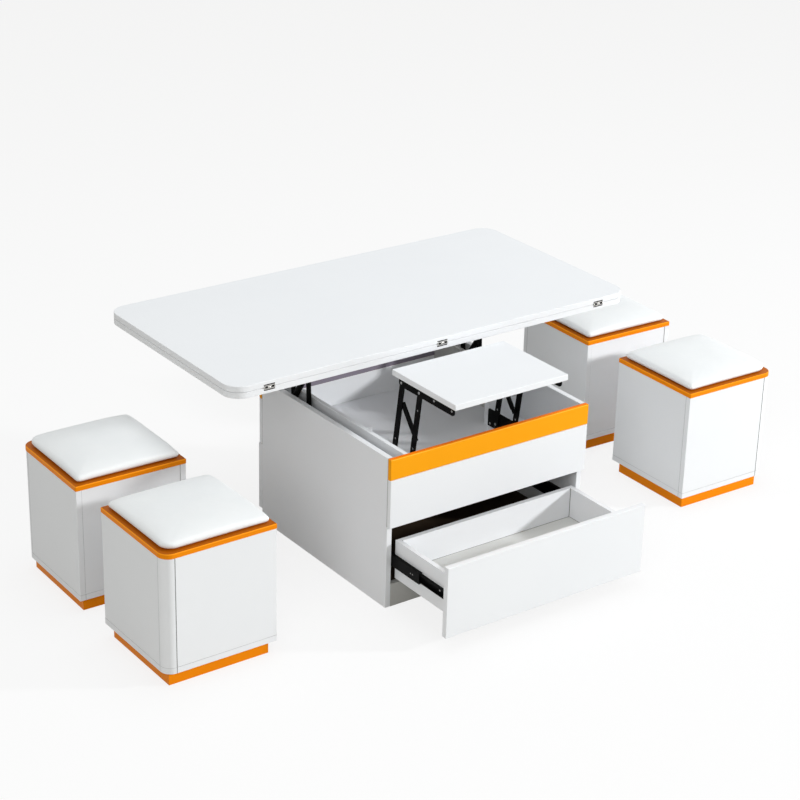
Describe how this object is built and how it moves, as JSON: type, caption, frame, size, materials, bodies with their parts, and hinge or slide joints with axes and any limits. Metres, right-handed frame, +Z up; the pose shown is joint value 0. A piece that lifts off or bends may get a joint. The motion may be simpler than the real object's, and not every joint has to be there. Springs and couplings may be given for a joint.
{
  "type": "lift-top coffee table with stools",
  "caption": "Coffee table with a fold-out lifting top, a raised inner table, storage drawers and padded storage stools, in gloss white board with orange bands",
  "frame": {"origin": "on the floor under the middle of the cabinet", "axes": "+X along the length of the tabletop, -Y towards the open drawer at the front, +Z up"},
  "size_m": [1.8898, 1.0445, 0.5696],
  "materials": {
    "white_board": "gloss white laminate on board",
    "orange_board": "gloss orange laminate on board",
    "raw_board": "bare dark fibreboard",
    "black_steel": "satin black powder coat",
    "slide_steel": "black electrocoat",
    "hinge_metal": "polished",
    "white_leather": "soft white grain"
  },
  "bodies": {
    "cabinet": {"side_panel_left": "white_board", "side_panel_right": "white_board", "band_front": "orange_board", "band_back": "orange_board", "upper_panel_front": "white_board", "upper_panel_back": "white_board", "kick_front": "white_board", "kick_back": "white_board", "bottom_panel": "raw_board", "compartment_floor": "white_board", "centre_panel": "raw_board", "divider_left": "white_board", "divider_right": "white_board", "end_bin_walls": "white_board", "leaf_blocks": "white_board", "leaf_brackets": "black_steel", "lift_brackets": "black_steel", "front_slide_outer": "slide_steel", "back_slide_outer": "slide_steel"},
    "lift_front_arms": {"lift_front_arms": "black_steel"},
    "lift_rear_arms": {"lift_rear_arms": "black_steel"},
    "lift_spring_tubes": {"lift_spring_tubes": "black_steel"},
    "lift_spring_rods": {"lift_spring_rods": "black_steel"},
    "top_lower": {"top_board_lower": "white_board", "top_rails": "black_steel", "flip_hinges_lower": "hinge_metal"},
    "top_upper": {"top_board_upper": "white_board", "flip_hinges_upper": "hinge_metal"},
    "leaf_front_arms": {"leaf_front_arms": "black_steel"},
    "leaf_rear_arms": {"leaf_rear_arms": "black_steel"},
    "leaf_spring_tubes": {"leaf_spring_tubes": "black_steel"},
    "leaf_spring_rods": {"leaf_spring_rods": "black_steel"},
    "leaf_top": {"leaf_board": "white_board", "leaf_rails": "black_steel"},
    "front_drawer": {"front_drawer_front": "white_board", "front_drawer_box": "white_board", "front_drawer_bottom": "white_board", "front_slide_inner": "slide_steel"},
    "front_slide_middle": {"front_slide_middle": "slide_steel"},
    "back_drawer": {"back_drawer_front": "white_board", "back_drawer_box": "white_board", "back_drawer_bottom": "white_board", "back_slide_inner": "slide_steel"},
    "back_slide_middle": {"back_slide_middle": "slide_steel"},
    "stool_front_left": {"stool_front_left_body": "white_board", "stool_front_left_plinth": "orange_board"},
    "stool_front_left_lid": {"stool_front_left_lid": "orange_board", "stool_front_left_cushion": "white_leather"},
    "stool_back_left": {"stool_back_left_body": "white_board", "stool_back_left_plinth": "orange_board"},
    "stool_back_left_lid": {"stool_back_left_lid": "orange_board", "stool_back_left_cushion": "white_leather"},
    "stool_front_right": {"stool_front_right_body": "white_board", "stool_front_right_plinth": "orange_board"},
    "stool_front_right_lid": {"stool_front_right_lid": "orange_board", "stool_front_right_cushion": "white_leather"},
    "stool_back_right": {"stool_back_right_body": "white_board", "stool_back_right_plinth": "orange_board"},
    "stool_back_right_lid": {"stool_back_right_lid": "orange_board", "stool_back_right_cushion": "white_leather"}
  },
  "joints": [
    {"name": "lift_raise", "type": "hinge", "parent": "cabinet", "child": "lift_front_arms", "pos_m": [0, 0.1079, 0.29], "axis": [1, 0, 0], "range_deg": [0, 68.66]},
    {"name": "lift_rear_pivot", "type": "hinge", "parent": "cabinet", "child": "lift_rear_arms", "pos_m": [0, 0.1779, 0.29], "axis": [1, 0, 0], "range_deg": [0, 68.66]},
    {"name": "top_level", "type": "hinge", "parent": "lift_front_arms", "child": "top_lower", "pos_m": [0, 0.11815, 0.52478], "axis": [1, 0, 0], "range_deg": [-68.66, 0]},
    {"name": "lift_tube_pivot", "type": "hinge", "parent": "lift_rear_arms", "child": "lift_spring_tubes", "pos_m": [0, 0.16936, 0.37545], "axis": [1, 0, 0], "range_deg": [-34.33, 0]},
    {"name": "lift_rod_pivot", "type": "hinge", "parent": "lift_front_arms", "child": "lift_spring_rods", "pos_m": [0, 0.12671, 0.43989], "axis": [1, 0, 0], "range_deg": [-34.33, 0]},
    {"name": "leaf_front_pivot", "type": "hinge", "parent": "cabinet", "child": "leaf_front_arms", "pos_m": [0, -0.1745, 0.3075], "axis": [1, 0, 0], "range_deg": [-83.2, 0]},
    {"name": "leaf_rear_pivot", "type": "hinge", "parent": "cabinet", "child": "leaf_rear_arms", "pos_m": [0, -0.1025, 0.3075], "axis": [1, 0, 0], "range_deg": [-83.2, 0]},
    {"name": "leaf_level", "type": "hinge", "parent": "leaf_front_arms", "child": "leaf_top", "pos_m": [0, -0.20303, 0.50546], "axis": [1, 0, 0], "range_deg": [0, 83.2]},
    {"name": "leaf_tube_pivot", "type": "hinge", "parent": "leaf_rear_arms", "child": "leaf_spring_tubes", "pos_m": [0, -0.12591, 0.44355], "axis": [1, 0, 0], "range_deg": [0, 41.6]},
    {"name": "leaf_rod_pivot", "type": "hinge", "parent": "leaf_front_arms", "child": "leaf_spring_rods", "pos_m": [0, -0.18025, 0.37375], "axis": [1, 0, 0], "range_deg": [0, 41.6]},
    {"name": "top_fold", "type": "hinge", "parent": "top_lower", "child": "top_upper", "pos_m": [0, -0.07575, 0.55418], "axis": [1, 0, 0], "range_deg": [0, 180]},
    {"name": "front_drawer_slide", "type": "slide", "parent": "cabinet", "child": "front_drawer", "axis": [0, 1, 0], "range_m": [0, 0.227]},
    {"name": "front_slide_extend", "type": "slide", "parent": "cabinet", "child": "front_slide_middle", "axis": [0, 1, 0], "range_m": [0, 0.1135]},
    {"name": "back_drawer_slide", "type": "slide", "parent": "cabinet", "child": "back_drawer", "axis": [0, 1, 0], "range_m": [0, 0.227]},
    {"name": "back_slide_extend", "type": "slide", "parent": "cabinet", "child": "back_slide_middle", "axis": [0, 1, 0], "range_m": [0, 0.1135]},
    {"name": "stool_front_left_tuck", "type": "slide", "parent": "cabinet", "child": "stool_front_left", "axis": [0.998, 0.063, 0], "range_m": [0, 0.322]},
    {"name": "stool_front_left_lid_lift", "type": "slide", "parent": "stool_front_left", "child": "stool_front_left_lid", "axis": [0, 0, 1], "range_m": [0, 0.03]},
    {"name": "stool_back_left_tuck", "type": "slide", "parent": "cabinet", "child": "stool_back_left", "axis": [0.9669, -0.2553, 0], "range_m": [0, 0.331]},
    {"name": "stool_back_left_lid_lift", "type": "slide", "parent": "stool_back_left", "child": "stool_back_left_lid", "axis": [0, 0, 1], "range_m": [0, 0.03]},
    {"name": "stool_front_right_tuck", "type": "slide", "parent": "cabinet", "child": "stool_front_right", "axis": [-0.9995, -0.0325, 0], "range_m": [0, 0.3512]},
    {"name": "stool_front_right_lid_lift", "type": "slide", "parent": "stool_front_right", "child": "stool_front_right_lid", "axis": [0, 0, 1], "range_m": [0, 0.03]},
    {"name": "stool_back_right_tuck", "type": "slide", "parent": "cabinet", "child": "stool_back_right", "axis": [-0.9414, -0.3372, 0], "range_m": [0, 0.3835]},
    {"name": "stool_back_right_lid_lift", "type": "slide", "parent": "stool_back_right", "child": "stool_back_right_lid", "axis": [0, 0, 1], "range_m": [0, 0.03]}
  ],
  "couplings": [
    {"joint": "lift_rear_pivot", "follows": "lift_raise", "ratio": 1},
    {"joint": "top_level", "follows": "lift_raise", "ratio": -1},
    {"joint": "lift_tube_pivot", "follows": "lift_raise", "ratio": -0.5},
    {"joint": "lift_rod_pivot", "follows": "lift_raise", "ratio": -0.5},
    {"joint": "leaf_front_pivot", "follows": "lift_raise", "ratio": -1.2118},
    {"joint": "leaf_rear_pivot", "follows": "lift_raise", "ratio": -1.2118},
    {"joint": "leaf_level", "follows": "lift_raise", "ratio": 1.2118},
    {"joint": "leaf_tube_pivot", "follows": "lift_raise", "ratio": 0.60592},
    {"joint": "leaf_rod_pivot", "follows": "lift_raise", "ratio": 0.60592},
    {"joint": "front_slide_extend", "follows": "front_drawer_slide", "ratio": 0.5},
    {"joint": "back_slide_extend", "follows": "back_drawer_slide", "ratio": 0.5}
  ]
}
